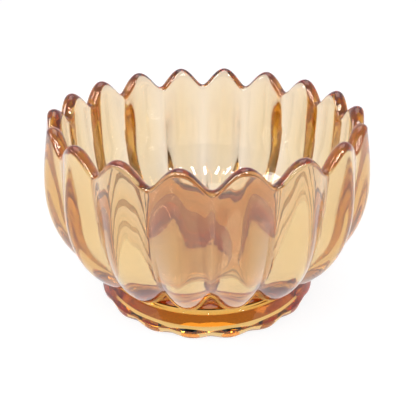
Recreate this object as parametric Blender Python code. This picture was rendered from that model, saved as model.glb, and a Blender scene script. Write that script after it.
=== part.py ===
"""Pressed glass candy dish: a bowl of eighteen petals on a low scalloped foot.

Metres, +Z up, with the origin on the table under the middle of the foot. A petal's
middle lies on +X and on -X, and a crease between two petals lies on +Y and on -Y.

Neither solid is a turned shape. Each is a loft around the axis between two unlike
sections, one down the middle of a petal and one down the crease beside it, so its
rings are worked out from a section curve and from the angle around the axis.
"""

import math

import bmesh
import bpy

# Driving dimensions
PETALS = 18
HEIGHT = 0.0905              # table to the top of a petal
BELLY_RADIUS = 0.0762        # widest place, on the middle of a petal
BELLY_HEIGHT = 0.0595
RIM_WALL = 0.0070            # glass at the rim, on the middle of a petal
RIM_RADIUS = 0.0689          # middle of that wall
RIM_DROP = 0.0090            # how far the rim dips from a petal's top to its crease
FLOOR_HEIGHT = 0.0175        # inside floor
FOOT_HEIGHT = 0.0130
FOOT_RADIUS = 0.0539         # on the middle of a lobe, near the table
SEAM_GAP = 0.0003            # between the foot's top and the bowl's underside

# How far a crease is pressed into the outer face
CREASE_DEPTH_RIM = 0.0028
CREASE_DEPTH_BELLY = 0.0057
CREASE_DEPTH_END = 0.0054    # at a petal's lower end
DEEPEST_SHARE = 0.4          # share of the way down the outside where it is deepest

# Rim, as shares of the wall's thickness
OUTSIDE_SHOULDER = 0.35      # how far below the top the outside face starts
INSIDE_SHOULDER = 0.60
CROWN_INSET = 0.42           # highest point, measured in from the outside face

# Lower end of a petal, which hangs out over the foot
NECK_RADIUS = 0.0485         # where the bowl stands on the foot
PETAL_END_RADIUS = 0.0560
PETAL_END_HEIGHT = 0.0178

# Roundings, as shares of half a petal's width
PETAL_TOP_ROUNDING = 3.00
VALLEY_ROUNDING = 0.28
PETAL_ROUNDING = 0.20
PETAL_END_ROUNDING = 1.60
CREASE_ROUNDING = 0.06
LOBE_ROUNDING = 0.90
NOTCH_ROUNDING = 0.25

# Foot
FOOT_TOP_RADIUS = 0.0507
TOP_EDGE = 0.0006            # bevel at the top
LOWER_EDGE_RISE = 0.0044     # rounding at the bottom
LOWER_EDGE_INSET = 0.0020
SCALLOP_DEPTH = 0.0020       # between two lobes, at the table
SCALLOP_HEIGHT = 0.0065      # where the scallops run out
RECESS_RADIUS = 0.0440       # domed hollow in the underside
RECESS_STEP = 0.0014         # short steep edge around it
RECESS_TAPER = 0.0005
RECESS_DEPTH = 0.0080

# Fineness of the lofts
STEPS_PER_PETAL = 8
CURVE_POINTS = 40
OUTER_RINGS = 12
END_RINGS = 5
RIM_RINGS = 3
INNER_RINGS = 11
FOOT_RINGS = 6
RECESS_RINGS = 5

# Glass colours
PEACH = (0.86, 0.60, 0.36, 1.0)
AMBER = (0.80, 0.46, 0.16, 1.0)
GLASS_IOR = 1.51
GLASS_ROUGHNESS = 0.03


class Section:
    """A curve in the (radius, height) plane, measured by the distance along it."""

    def __init__(self, *corners):
        """Join cubic curves: each takes three more corners after the first curve's start."""
        self.points = [corners[0]]
        for i in range(0, len(corners) - 1, 3):
            for step in range(1, CURVE_POINTS + 1):
                self.points.append(cubic(corners[i:i + 4], step / CURVE_POINTS))
        self.reach = [0.0]
        for a, b in zip(self.points, self.points[1:]):
            self.reach.append(self.reach[-1] + math.dist(a, b))
        self.length = self.reach[-1]

    def at(self, distance, pressed=0.0):
        """Point at this distance, pushed in by `pressed` against the outward normal."""
        i = 0
        while i < len(self.points) - 2 and self.reach[i + 1] < distance:
            i += 1
        (r0, z0), (r1, z1) = self.points[i], self.points[i + 1]
        span = self.reach[i + 1] - self.reach[i]
        t = (distance - self.reach[i]) / span
        normal_r, normal_z = (z0 - z1) / span, (r1 - r0) / span
        return (r0 + (r1 - r0) * t - normal_r * pressed, z0 + (z1 - z0) * t - normal_z * pressed)


def cubic(corners, t):
    """Point of a cubic curve with these four corners."""
    weights = ((1 - t) ** 3, 3 * t * (1 - t) ** 2, 3 * t * t * (1 - t), t ** 3)
    return tuple(sum(w * corner[k] for w, corner in zip(weights, corners)) for k in (0, 1))


def smooth_step(t):
    """0 up to 1 as t goes from 0 to 1, level at both ends."""
    return t * t * (3 - 2 * t)


def rounded_ramp(x, start, end):
    """0 to 1 as x goes from 0 to 1, rounded off at both ends by these amounts."""
    x = 1 - (math.hypot(1 - x, end) - end) / (math.hypot(1, end) - end)
    return (math.hypot(x, start) - start) / (math.hypot(1, start) - start)


def rim_dip(phase):
    """How far the rim lies below a petal's top."""
    return RIM_DROP * rounded_ramp(phase, PETAL_TOP_ROUNDING, VALLEY_ROUNDING)


def petal_arc(phase, down):
    """0 on a petal's middle, 1 in its crease: roof-like at the rim, rounder at the lower end."""
    rounding = PETAL_ROUNDING + (PETAL_END_ROUNDING - PETAL_ROUNDING) * down ** 4
    return rounded_ramp(phase, rounding, CREASE_ROUNDING)


def crease_depth(down):
    """Depth of a crease at this share of the way down the outside."""
    if down < DEEPEST_SHARE:
        eased = smooth_step(down / DEEPEST_SHARE)
        return CREASE_DEPTH_RIM + (CREASE_DEPTH_BELLY - CREASE_DEPTH_RIM) * eased
    eased = smooth_step((down - DEEPEST_SHARE) / (1 - DEEPEST_SHARE))
    return CREASE_DEPTH_BELLY + (CREASE_DEPTH_END - CREASE_DEPTH_BELLY) * eased


petal_end = (PETAL_END_RADIUS, PETAL_END_HEIGHT)
rim_outside = RIM_RADIUS + RIM_WALL / 2
rim_inside = RIM_RADIUS - RIM_WALL / 2
outer = Section(
    (rim_outside, HEIGHT - OUTSIDE_SHOULDER * RIM_WALL), (0.0742, 0.079), (BELLY_RADIUS, 0.070),
    (BELLY_RADIUS, BELLY_HEIGHT), (BELLY_RADIUS, 0.043), (0.0690, 0.0270), petal_end)
under = Section(
    petal_end, (0.0535, 0.0158), (NECK_RADIUS, 0.0190), (NECK_RADIUS, FOOT_HEIGHT + SEAM_GAP))
inner = Section(
    (rim_inside, HEIGHT - INSIDE_SHOULDER * RIM_WALL), (rim_inside, 0.074), (0.0650, 0.064),
    (0.0643, 0.054), (0.0630, 0.036), (0.0560, FLOOR_HEIGHT), (0.0, FLOOR_HEIGHT))


def bowl_column(phase):
    """Points from the neck up the outside, over the rim and down to the inside floor."""
    column = []
    for i in range(END_RINGS, 0, -1):
        share = i / END_RINGS
        pressed = CREASE_DEPTH_END * petal_arc(phase, 1.0) * (1 - smooth_step(share))
        column.append(under.at(share * under.length, pressed))
    # The wall is thinner in a crease, so the rounded edge of the rim is tighter there.
    thinner = CREASE_DEPTH_RIM * petal_arc(phase, 0.0)
    start = rim_dip(phase) - OUTSIDE_SHOULDER * thinner
    for i in range(OUTER_RINGS, -1, -1):
        distance = start + (outer.length - start) * i / OUTER_RINGS
        down = distance / outer.length
        column.append(outer.at(distance, crease_depth(down) * petal_arc(phase, down)))
    start = rim_dip(phase) - INSIDE_SHOULDER * thinner
    column += rim_points(column[-1], inner.at(start), HEIGHT - rim_dip(phase))
    for i in range(INNER_RINGS):
        column.append(inner.at(start + (inner.length - start) * i / INNER_RINGS))
    return column


def rim_points(outside, inside, top):
    """Points over the rounded rim, between its two shoulders."""
    wall = outside[0] - inside[0]
    crown = (outside[0] - CROWN_INSET * wall, top)
    rise = Section(
        outside, (outside[0], outside[1] + 0.25 * wall), (crown[0] + 0.17 * wall, top), crown)
    fall = Section(
        crown, (crown[0] - 0.24 * wall, top), (inside[0], inside[1] + 0.30 * wall), inside)
    points = [rise.at(rise.length * i / RIM_RINGS) for i in range(1, RIM_RINGS + 1)]
    return points + [fall.at(fall.length * i / RIM_RINGS) for i in range(1, RIM_RINGS)]


def foot_column(phase):
    """Points from the domed hollow out along the table and up the lobed side."""
    column = []
    for i in range(1, RECESS_RINGS + 1):
        share = i / RECESS_RINGS
        height = RECESS_STEP + (RECESS_DEPTH - RECESS_STEP) * (1 - share ** 2)
        column.append(((RECESS_RADIUS - RECESS_TAPER) * share, height))
    column.append((RECESS_RADIUS, 0.0))
    notch = SCALLOP_DEPTH * rounded_ramp(phase, LOBE_ROUNDING, NOTCH_ROUNDING)
    for i in range(FOOT_RINGS + 1):
        height = (FOOT_HEIGHT - TOP_EDGE) * (i / FOOT_RINGS) ** 1.5
        taper = max(0.0, (height - LOWER_EDGE_RISE) / (FOOT_HEIGHT - LOWER_EDGE_RISE))
        low = max(0.0, 1 - height / LOWER_EDGE_RISE)
        side = FOOT_RADIUS - (FOOT_RADIUS - FOOT_TOP_RADIUS) * taper
        side -= LOWER_EDGE_INSET * (1 - math.sqrt(1 - low ** 2))
        side -= notch * max(0.0, 1 - height / SCALLOP_HEIGHT) ** 1.5
        column.append((side, height))
    column.append((FOOT_TOP_RADIUS - TOP_EDGE, FOOT_HEIGHT))
    return column


def loft(name, make_column, material, collection):
    """Closed solid around the axis, from the column of points that belongs to each phase."""
    steps = PETALS * STEPS_PER_PETAL
    mesh = bmesh.new()
    grid = []
    for i in range(steps):
        angle = 2 * math.pi * i / steps
        cos, sin = math.cos(angle), math.sin(angle)
        from_middle = min(i % STEPS_PER_PETAL, -i % STEPS_PER_PETAL)
        column = make_column(2 * from_middle / STEPS_PER_PETAL)
        grid.append([mesh.verts.new((r * cos, r * sin, z)) for r, z in column])
    for here, there in zip(grid, grid[1:] + grid[:1]):
        for level in range(len(here) - 1):
            mesh.faces.new((here[level], there[level], there[level + 1], here[level + 1]))
    close_end(mesh, [column[0] for column in reversed(grid)])
    close_end(mesh, [column[-1] for column in grid])
    data = bpy.data.meshes.new(name)
    mesh.to_mesh(data)
    mesh.free()
    data.shade_smooth()
    data.set_sharp_from_angle(angle=math.radians(35))
    data.materials.append(material)
    obj = bpy.data.objects.new(name, data)
    collection.objects.link(obj)
    return obj


def close_end(mesh, ring):
    """Close one end of a loft with a fan of triangles around a point on the axis."""
    height = sum(vertex.co.z for vertex in ring) / len(ring)
    middle = mesh.verts.new((0.0, 0.0, height))
    for a, b in zip(ring, ring[1:] + ring[:1]):
        mesh.faces.new((a, b, middle))


def glass(name, colour):
    """Clear tinted glass."""
    material = bpy.data.materials.new(name)
    material.use_nodes = True
    shader = material.node_tree.nodes["Principled BSDF"]
    shader.inputs["Base Color"].default_value = colour
    shader.inputs["Roughness"].default_value = GLASS_ROUGHNESS
    shader.inputs["Metallic"].default_value = 0.0
    shader.inputs["IOR"].default_value = GLASS_IOR
    shader.inputs["Transmission Weight"].default_value = 1.0
    return material


def main():
    for obj in list(bpy.data.objects):
        bpy.data.objects.remove(obj, do_unlink=True)
    dish = bpy.data.collections.new("candy_dish")
    bpy.context.scene.collection.children.link(dish)
    loft("bowl", bowl_column, glass("peach_glass", PEACH), dish)
    loft("foot", foot_column, glass("amber_glass", AMBER), dish)


main()
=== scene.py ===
"""Looks of the pressed glass candy dish: a petal bowl fused to a low scalloped foot.

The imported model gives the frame: its boxes say how high and how wide the bowl and the
foot are. Sizes are in metres in that same frame unless a comment gives another unit.
"""
import bisect
import math

import bmesh
import bpy
from mathutils import Matrix, Vector


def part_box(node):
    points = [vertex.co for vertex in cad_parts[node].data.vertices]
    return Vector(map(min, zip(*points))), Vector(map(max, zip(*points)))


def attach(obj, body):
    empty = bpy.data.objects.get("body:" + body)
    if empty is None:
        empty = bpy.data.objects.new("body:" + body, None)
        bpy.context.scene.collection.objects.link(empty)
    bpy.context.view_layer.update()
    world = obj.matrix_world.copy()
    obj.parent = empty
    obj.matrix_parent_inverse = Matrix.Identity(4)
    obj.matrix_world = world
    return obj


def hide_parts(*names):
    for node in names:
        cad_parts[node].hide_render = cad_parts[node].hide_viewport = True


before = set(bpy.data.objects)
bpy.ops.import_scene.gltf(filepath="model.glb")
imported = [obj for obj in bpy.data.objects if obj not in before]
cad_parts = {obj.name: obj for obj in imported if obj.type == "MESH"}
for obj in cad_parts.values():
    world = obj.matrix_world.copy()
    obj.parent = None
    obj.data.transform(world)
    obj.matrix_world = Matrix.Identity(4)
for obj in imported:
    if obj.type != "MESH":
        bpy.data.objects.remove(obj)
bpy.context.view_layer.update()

# Sizes read from the frame
_, bowl_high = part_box("bowl")
_, foot_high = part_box("foot")
HEIGHT = bowl_high.z
BELLY_RADIUS = bowl_high.x
FOOT_HEIGHT = foot_high.z
FOOT_RADIUS = foot_high.x

# Bowl
PETALS = 18
BELLY_HEIGHT = 0.0595
RIM_WALL = 0.0070            # glass at the rim, on the middle of a petal
RIM_RADIUS = 0.0689          # middle of that wall
RIM_DROP = 0.0090            # how far the rim dips from a petal's top to its crease
FLOOR_HEIGHT = 0.0175        # inside floor
NECK_RADIUS = 0.0485         # where the bowl stands on the foot
PETAL_END_RADIUS = 0.0560    # a petal's lower end hangs out over the foot
PETAL_END_HEIGHT = 0.0178

# How far a crease is pressed into the outer face
CREASE_DEPTH_RIM = 0.0028
CREASE_DEPTH_BELLY = 0.0057
CREASE_DEPTH_END = 0.0054    # at a petal's lower end
DEEPEST_SHARE = 0.4          # share of the way down the outside where it is deepest

# Rim, as shares of the wall's thickness
OUTSIDE_SHOULDER = 0.35      # how far below the top the outside face starts
INSIDE_SHOULDER = 0.60
CROWN_INSET = 0.42           # highest point, measured in from the outside face
OUTSIDE_RISE = 0.25          # pull of the rounding straight up at each shoulder
INSIDE_RISE = 0.30
CROWN_OUTWARDS = 0.17        # and level at the crown, to either side
CROWN_INWARDS = 0.24

# Roundings, as shares of half a petal's width
PETAL_TOP_ROUNDING = 3.00
VALLEY_ROUNDING = 0.28
PETAL_ROUNDING = 0.20
PETAL_END_ROUNDING = 1.60
CREASE_ROUNDING = 0.06
LOBE_ROUNDING = 0.90
NOTCH_ROUNDING = 0.25

# Foot
FOOT_TOP_RADIUS = 0.0507
TOP_EDGE = 0.0006            # bevel at the top
LOWER_EDGE_RISE = 0.0044     # rounding at the bottom
LOWER_EDGE_INSET = 0.0020
SCALLOP_DEPTH = 0.0020       # between two lobes, at the table
SCALLOP_HEIGHT = 0.0065      # where the scallops run out
RECESS_RADIUS = 0.0440       # domed hollow in the underside
RECESS_STEP = 0.0014         # short steep edge around it
RECESS_TAPER = 0.0005
RECESS_DEPTH = 0.0080
JOINT_INSET = 0.0005         # the fused joint lies just inside the neck
FUSED_OVERLAP = 0.0003       # the foot's glass reaches this far into the bowl's

# Fineness
STEPS_PER_PETAL = 20
CURVE_POINTS = 60
OUTER_RINGS = 56
END_RINGS = 16
RIM_RINGS = 8
INNER_RINGS = 50
FOOT_RINGS = 30
RECESS_RINGS = 16
SHARPEST_SMOOTH = 35         # degrees: edges past this angle are shaded as edges

# Glass. A tint colours the light at the surface, a loss is per metre of glass.
GLASS_IOR = 1.51
PEACH_TINT = (0.925, 0.845, 0.785, 1)
PEACH_LOSSES = (6, 18, 52)
# The foot's glass loses more light per metre than the bowl's. This is painted shade: it deepens
# the foot's amber beyond what its longer light paths through the glass give.
FOOT_GLASS_TINT = (0.95, 0.89, 0.82, 1)
FOOT_LOSSES_WITH_PAINTED_SHADE = (7, 40, 130)
LUSTRE = 0.9                 # reflecting finish on the bowl
LUSTRE_IOR = 1.6
RIPPLES_PER_METRE = (60, 60, 6)
RIPPLE_DETAIL = 1.5
RIPPLE_WAVER = 0.4
BOWL_RIPPLE = 0.0006         # how deep the ripples are
FOOT_RIPPLE = 0.0001

# Table top
FLOOR_SIZE = 40.0
FLOOR_GAP = 0.0003           # just clear of the foot's underside
FLOOR_GREY = 0.20
FLOOR_GLOW = 0.87

# Room
ROOM_LOW_COLOUR = (0.88, 0.83, 0.90, 1)
ROOM_HIGH_COLOUR = (0.45, 0.40, 0.45, 1)
ROOM_HIGH_FROM = 0.55        # Z of the direction from which the second colour is full
ROOM_FRONT_STRENGTH = 0.20   # on the camera's side
ROOM_FRONT_UP_TO = -0.9      # Y of the direction up to which that strength holds
ROOM_BACK_STRENGTH = 1.05
ROOM_BACK_FROM = 0.1         # and from which this one does

# Window in front of the dish: a row of narrow lamps, one for each pane
WINDOW_PANES = 7
PANE_SPACING = 0.18
PANE_SIZE = (0.02, 0.36)
PANE_POWER = 0.8
WINDOW_DISTANCE = 0.62
WINDOW_HEIGHT = 0.95

# Camera, placed from the middle of the rim. Angles are in degrees.
CAMERA_DISTANCE = 4.2007     # in rim radii
CAMERA_ELEVATION = 18.256
CAMERA_TURN = 1.79           # around the axis, to the left
CAMERA_DIVE = 27.1           # how far it looks down
CAMERA_YAW = 0.137           # and to the right
LENS_MM = 54.23
SENSOR_MM = 36
FRAME_SHIFT = -0.0065        # in picture widths
NEAREST_SEEN = 0.01

# Light passes many faces of the glass before it leaves
MAX_BOUNCES = 32
MIRROR_BOUNCES = 16


class Section:
    """A curve in the (radius, height) plane, measured by the distance along it."""

    def __init__(self, *corners):
        """Join cubic curves: each takes three more corners after the first curve's start."""
        self.points = [corners[0]]
        for i in range(0, len(corners) - 1, 3):
            for step in range(1, CURVE_POINTS + 1):
                self.points.append(cubic(corners[i:i + 4], step / CURVE_POINTS))
        self.reach = [0.0]
        for a, b in zip(self.points, self.points[1:]):
            self.reach.append(self.reach[-1] + math.dist(a, b))
        self.length = self.reach[-1]

    def at(self, distance, pressed=0.0):
        """Point at this distance, pushed in by `pressed` against the outward normal."""
        i = min(max(bisect.bisect_right(self.reach, distance) - 1, 0), len(self.points) - 2)
        (r0, z0), (r1, z1) = self.points[i], self.points[i + 1]
        span = self.reach[i + 1] - self.reach[i]
        t = (distance - self.reach[i]) / span
        normal_r, normal_z = (z0 - z1) / span, (r1 - r0) / span
        return (r0 + (r1 - r0) * t - normal_r * pressed, z0 + (z1 - z0) * t - normal_z * pressed)


def cubic(corners, t):
    """Point of a cubic curve with these four corners."""
    weights = ((1 - t) ** 3, 3 * t * (1 - t) ** 2, 3 * t * t * (1 - t), t ** 3)
    return tuple(sum(w * corner[k] for w, corner in zip(weights, corners)) for k in (0, 1))


def smooth_step(t):
    """0 up to 1 as t goes from 0 to 1, level at both ends."""
    return t * t * (3 - 2 * t)


def rounded_ramp(x, start, end):
    """0 to 1 as x goes from 0 to 1, rounded off at both ends by these amounts."""
    x = 1 - (math.hypot(1 - x, end) - end) / (math.hypot(1, end) - end)
    return (math.hypot(x, start) - start) / (math.hypot(1, start) - start)


def rim_dip(phase):
    """How far the rim lies below a petal's top; phase is 0 on a petal's middle, 1 in a crease."""
    return RIM_DROP * rounded_ramp(phase, PETAL_TOP_ROUNDING, VALLEY_ROUNDING)


def petal_arc(phase, down):
    """0 on a petal's middle, 1 in its crease: roof-like at the rim, rounder at the lower end."""
    rounding = PETAL_ROUNDING + (PETAL_END_ROUNDING - PETAL_ROUNDING) * down ** 4
    return rounded_ramp(phase, rounding, CREASE_ROUNDING)


def crease_depth(down):
    """Depth of a crease at this share of the way down the outside."""
    if down < DEEPEST_SHARE:
        eased = smooth_step(down / DEEPEST_SHARE)
        return CREASE_DEPTH_RIM + (CREASE_DEPTH_BELLY - CREASE_DEPTH_RIM) * eased
    eased = smooth_step((down - DEEPEST_SHARE) / (1 - DEEPEST_SHARE))
    return CREASE_DEPTH_BELLY + (CREASE_DEPTH_END - CREASE_DEPTH_BELLY) * eased


petal_end = (PETAL_END_RADIUS, PETAL_END_HEIGHT)
rim_outside = RIM_RADIUS + RIM_WALL / 2
rim_inside = RIM_RADIUS - RIM_WALL / 2
outer = Section(
    (rim_outside, HEIGHT - OUTSIDE_SHOULDER * RIM_WALL), (0.0742, 0.079), (BELLY_RADIUS, 0.070),
    (BELLY_RADIUS, BELLY_HEIGHT), (BELLY_RADIUS, 0.043), (0.0690, 0.0270), petal_end)
under = Section(
    petal_end, (0.0535, 0.0158), (NECK_RADIUS, 0.0190), (NECK_RADIUS, FOOT_HEIGHT))
inner = Section(
    (rim_inside, HEIGHT - INSIDE_SHOULDER * RIM_WALL), (rim_inside, 0.074), (0.0650, 0.064),
    (0.0643, 0.054), (0.0630, 0.036), (0.0560, FLOOR_HEIGHT), (0.0, FLOOR_HEIGHT))


def bowl_column(phase):
    """Points from the neck up the outside, over the rim and down to the inside floor."""
    column = []
    for i in range(END_RINGS, 0, -1):
        share = i / END_RINGS
        pressed = CREASE_DEPTH_END * petal_arc(phase, 1.0) * (1 - smooth_step(share))
        column.append(under.at(share * under.length, pressed))
    # The wall is thinner in a crease, so the rounded edge of the rim is tighter there.
    thinner = CREASE_DEPTH_RIM * petal_arc(phase, 0.0)
    start = rim_dip(phase) - OUTSIDE_SHOULDER * thinner
    for i in range(OUTER_RINGS, -1, -1):
        distance = start + (outer.length - start) * i / OUTER_RINGS
        down = distance / outer.length
        column.append(outer.at(distance, crease_depth(down) * petal_arc(phase, down)))
    start = rim_dip(phase) - INSIDE_SHOULDER * thinner
    column += rim_points(column[-1], inner.at(start), HEIGHT - rim_dip(phase))
    for i in range(INNER_RINGS):
        column.append(inner.at(start + (inner.length - start) * i / INNER_RINGS))
    return column


def rim_points(outside, inside, top):
    """Points over the rounded rim, between its two shoulders."""
    wall = outside[0] - inside[0]
    crown = (outside[0] - CROWN_INSET * wall, top)
    rise = Section(
        outside, (outside[0], outside[1] + OUTSIDE_RISE * wall),
        (crown[0] + CROWN_OUTWARDS * wall, top), crown)
    fall = Section(
        crown, (crown[0] - CROWN_INWARDS * wall, top),
        (inside[0], inside[1] + INSIDE_RISE * wall), inside)
    points = [rise.at(rise.length * i / RIM_RINGS) for i in range(1, RIM_RINGS + 1)]
    return points + [fall.at(fall.length * i / RIM_RINGS) for i in range(1, RIM_RINGS)]


def foot_column(phase):
    """Points from the domed hollow out along the table and up the lobed side to the joint."""
    column = []
    for i in range(1, RECESS_RINGS + 1):
        share = i / RECESS_RINGS
        height = RECESS_STEP + (RECESS_DEPTH - RECESS_STEP) * (1 - share ** 2)
        column.append(((RECESS_RADIUS - RECESS_TAPER) * share, height))
    column.append((RECESS_RADIUS, 0.0))
    notch = SCALLOP_DEPTH * rounded_ramp(phase, LOBE_ROUNDING, NOTCH_ROUNDING)
    for i in range(FOOT_RINGS + 1):
        height = (FOOT_HEIGHT - TOP_EDGE) * (i / FOOT_RINGS) ** 1.5
        taper = max(0.0, (height - LOWER_EDGE_RISE) / (FOOT_HEIGHT - LOWER_EDGE_RISE))
        low = max(0.0, 1 - height / LOWER_EDGE_RISE)
        side = FOOT_RADIUS - (FOOT_RADIUS - FOOT_TOP_RADIUS) * taper
        side -= LOWER_EDGE_INSET * (1 - math.sqrt(1 - low ** 2))
        side -= notch * max(0.0, 1 - height / SCALLOP_HEIGHT) ** 1.5
        column.append((side, height))
    joint = NECK_RADIUS - JOINT_INSET
    column.append((FOOT_TOP_RADIUS - TOP_EDGE, FOOT_HEIGHT))
    column.append((joint, FOOT_HEIGHT))
    column.append((joint - FUSED_OVERLAP, FOOT_HEIGHT + FUSED_OVERLAP))
    return column


def loft(name, make_column):
    """Closed mesh around the axis, from the column of points that belongs to each phase."""
    by_step = []
    for step in range(STEPS_PER_PETAL):
        from_middle = min(step, STEPS_PER_PETAL - step)
        by_step.append(make_column(2 * from_middle / STEPS_PER_PETAL))
    steps = PETALS * STEPS_PER_PETAL
    mesh = bmesh.new()
    grid = []
    for i in range(steps):
        angle = 2 * math.pi * i / steps
        cos, sin = math.cos(angle), math.sin(angle)
        column = by_step[i % STEPS_PER_PETAL]
        grid.append([mesh.verts.new((r * cos, r * sin, z)) for r, z in column])
    for here, there in zip(grid, grid[1:] + grid[:1]):
        for level in range(len(here) - 1):
            mesh.faces.new((here[level], there[level], there[level + 1], here[level + 1]))
    close_end(mesh, [column[0] for column in reversed(grid)])
    close_end(mesh, [column[-1] for column in grid])
    data = bpy.data.meshes.new(name)
    mesh.to_mesh(data)
    mesh.free()
    data.shade_smooth()
    data.set_sharp_from_angle(angle=math.radians(SHARPEST_SMOOTH))
    piece = bpy.data.objects.new(name, data)
    bpy.context.scene.collection.objects.link(piece)
    return piece


def close_end(mesh, ring):
    """Close one end of a loft with a fan of triangles around a point on the axis."""
    height = sum(vertex.co.z for vertex in ring) / len(ring)
    middle = mesh.verts.new((0.0, 0.0, height))
    for a, b in zip(ring, ring[1:] + ring[:1]):
        mesh.faces.new((a, b, middle))


def glass(name, tint, losses, lustre, ripple):
    """Fire-polished pressed glass, deeper in colour where light goes further through it."""
    material = bpy.data.materials.new(name)
    material.use_nodes = True
    nodes, links = material.node_tree.nodes, material.node_tree.links
    shader = nodes["Principled BSDF"]
    shader.inputs["Base Color"].default_value = tint
    shader.inputs["Roughness"].default_value = 0.0
    shader.inputs["IOR"].default_value = GLASS_IOR
    shader.inputs["Transmission Weight"].default_value = 1.0
    shader.inputs["Coat Weight"].default_value = lustre
    shader.inputs["Coat Roughness"].default_value = 0.0
    shader.inputs["Coat IOR"].default_value = LUSTRE_IOR
    absorb = nodes.new("ShaderNodeVolumeAbsorption")
    most = max(losses)
    absorb.inputs["Color"].default_value = (*(1 - loss / most for loss in losses), 1)
    absorb.inputs["Density"].default_value = most
    links.new(absorb.outputs[0], nodes["Material Output"].inputs["Volume"])
    add_ripple(nodes, links, shader, ripple)
    return material


def add_ripple(nodes, links, shader, depth):
    """Faint upright ripples that the mould leaves in the surface."""
    where = nodes.new("ShaderNodeTexCoord")
    stretch = nodes.new("ShaderNodeMapping")
    stretch.inputs["Scale"].default_value = RIPPLES_PER_METRE
    noise = nodes.new("ShaderNodeTexNoise")
    noise.inputs["Scale"].default_value = 1.0
    noise.inputs["Detail"].default_value = RIPPLE_DETAIL
    noise.inputs["Distortion"].default_value = RIPPLE_WAVER
    bump = nodes.new("ShaderNodeBump")
    bump.inputs["Strength"].default_value = 1.0
    bump.inputs["Distance"].default_value = depth
    links.new(where.outputs["Object"], stretch.inputs["Vector"])
    links.new(stretch.outputs[0], noise.inputs["Vector"])
    links.new(noise.outputs[0], bump.inputs["Height"])
    links.new(bump.outputs[0], shader.inputs["Normal"])


def make_floor():
    """Glowing white table top, so that no shadow shows beside the foot."""
    bpy.ops.mesh.primitive_plane_add(size=FLOOR_SIZE, location=(0, 0, -FLOOR_GAP))
    floor = bpy.context.object
    floor.name = "floor"
    material = bpy.data.materials.new("floor_white")
    material.use_nodes = True
    shader = material.node_tree.nodes["Principled BSDF"]
    shader.inputs["Base Color"].default_value = (FLOOR_GREY, FLOOR_GREY, FLOOR_GREY, 1)
    shader.inputs["Roughness"].default_value = 0.9
    shader.inputs["Emission Color"].default_value = (1, 1, 1, 1)
    shader.inputs["Emission Strength"].default_value = FLOOR_GLOW
    floor.data.materials.append(material)


def make_surroundings():
    """Pale room: brighter low down, and darker towards the side the camera looks from."""
    world = bpy.data.worlds.new("studio")
    bpy.context.scene.world = world
    world.use_nodes = True
    nodes, links = world.node_tree.nodes, world.node_tree.links
    direction = nodes.new("ShaderNodeTexCoord")
    split = nodes.new("ShaderNodeSeparateXYZ")
    links.new(direction.outputs["Generated"], split.inputs[0])
    ramp = nodes.new("ShaderNodeValToRGB")
    low, high = ramp.color_ramp.elements
    low.position = 0.0
    low.color = ROOM_LOW_COLOUR
    high.position = ROOM_HIGH_FROM
    high.color = ROOM_HIGH_COLOUR
    links.new(split.outputs["Z"], ramp.inputs[0])
    links.new(ramp.outputs[0], nodes["Background"].inputs["Color"])
    side = nodes.new("ShaderNodeMapRange")
    side.inputs["From Min"].default_value = ROOM_FRONT_UP_TO
    side.inputs["From Max"].default_value = ROOM_BACK_FROM
    side.inputs["To Min"].default_value = ROOM_FRONT_STRENGTH
    side.inputs["To Max"].default_value = ROOM_BACK_STRENGTH
    links.new(split.outputs["Y"], side.inputs[0])
    links.new(side.outputs[0], nodes["Background"].inputs["Strength"])


def softbox(name, place, size, power):
    """Rectangular lamp aimed at the middle of the dish."""
    data = bpy.data.lights.new(name, "AREA")
    data.shape = "RECTANGLE"
    data.size, data.size_y = size
    data.energy = power
    lamp = bpy.data.objects.new(name, data)
    lamp.location = place
    lamp.rotation_mode = "QUATERNION"
    aim = Vector((0, 0, HEIGHT / 2)) - Vector(place)
    lamp.rotation_quaternion = aim.to_track_quat("-Z", "Y")
    bpy.context.scene.collection.objects.link(lamp)


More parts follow.
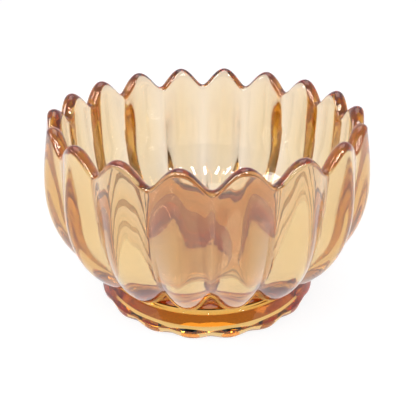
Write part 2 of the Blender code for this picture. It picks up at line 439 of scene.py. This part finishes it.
def make_window():
    """The panes of the window, side by side."""
    for i in range(WINDOW_PANES):
        across = PANE_SPACING * (i - WINDOW_PANES // 2)
        place = (across, -WINDOW_DISTANCE, WINDOW_HEIGHT)
        softbox(f"window_pane_{i + 1}", place, PANE_SIZE, PANE_POWER)


def make_camera():
    """Camera in front of a crease, above the rim, looking down at the dish."""
    elevation = math.radians(CAMERA_ELEVATION)
    dive = math.radians(CAMERA_DIVE)
    yaw = math.radians(CAMERA_YAW)
    turn = Matrix.Rotation(-math.radians(CAMERA_TURN), 3, "Z")
    place = Vector((0, -math.cos(elevation), math.sin(elevation))) * CAMERA_DISTANCE * RIM_RADIUS
    level = math.cos(dive)
    look = Vector((math.sin(yaw) * level, math.cos(yaw) * level, -math.sin(dive)))
    data = bpy.data.cameras.new("camera")
    data.sensor_width = SENSOR_MM
    data.lens = LENS_MM
    data.shift_y = FRAME_SHIFT
    data.clip_start = NEAREST_SEEN
    camera = bpy.data.objects.new("camera", data)
    camera.location = turn @ place + Vector((0, 0, HEIGHT))
    camera.rotation_mode = "QUATERNION"
    camera.rotation_quaternion = (turn @ look).to_track_quat("-Z", "Y")
    bpy.context.scene.collection.objects.link(camera)
    bpy.context.scene.camera = camera


bowl = loft("petal_bowl", bowl_column)
foot = loft("scalloped_foot", foot_column)
peach = glass("peach_glass", PEACH_TINT, PEACH_LOSSES, lustre=LUSTRE, ripple=BOWL_RIPPLE)
# The foot gets a copy of the glass with painted shade, which takes up more light per metre than
# the bowl's.
amber = glass("amber_glass", FOOT_GLASS_TINT, FOOT_LOSSES_WITH_PAINTED_SHADE, lustre=0.0, ripple=FOOT_RIPPLE)
bowl.data.materials.append(peach)
foot.data.materials.append(amber)
for piece, node, slot in ((bowl, "bowl", "bowl_glass"), (foot, "foot", "foot_glass")):
    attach(piece, "root")
    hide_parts(node)

make_floor()
make_surroundings()
softbox("overhead", place=(0.0, 0.3, 1.2), size=(0.8, 0.8), power=2.5)
softbox("left", place=(-1.0, -0.2, 0.9), size=(0.3, 0.5), power=3)
make_window()
make_camera()

scene = bpy.context.scene
scene.view_settings.view_transform = "Standard"
scene.cycles.max_bounces = MAX_BOUNCES
scene.cycles.transmission_bounces = MAX_BOUNCES
scene.cycles.glossy_bounces = MIRROR_BOUNCES
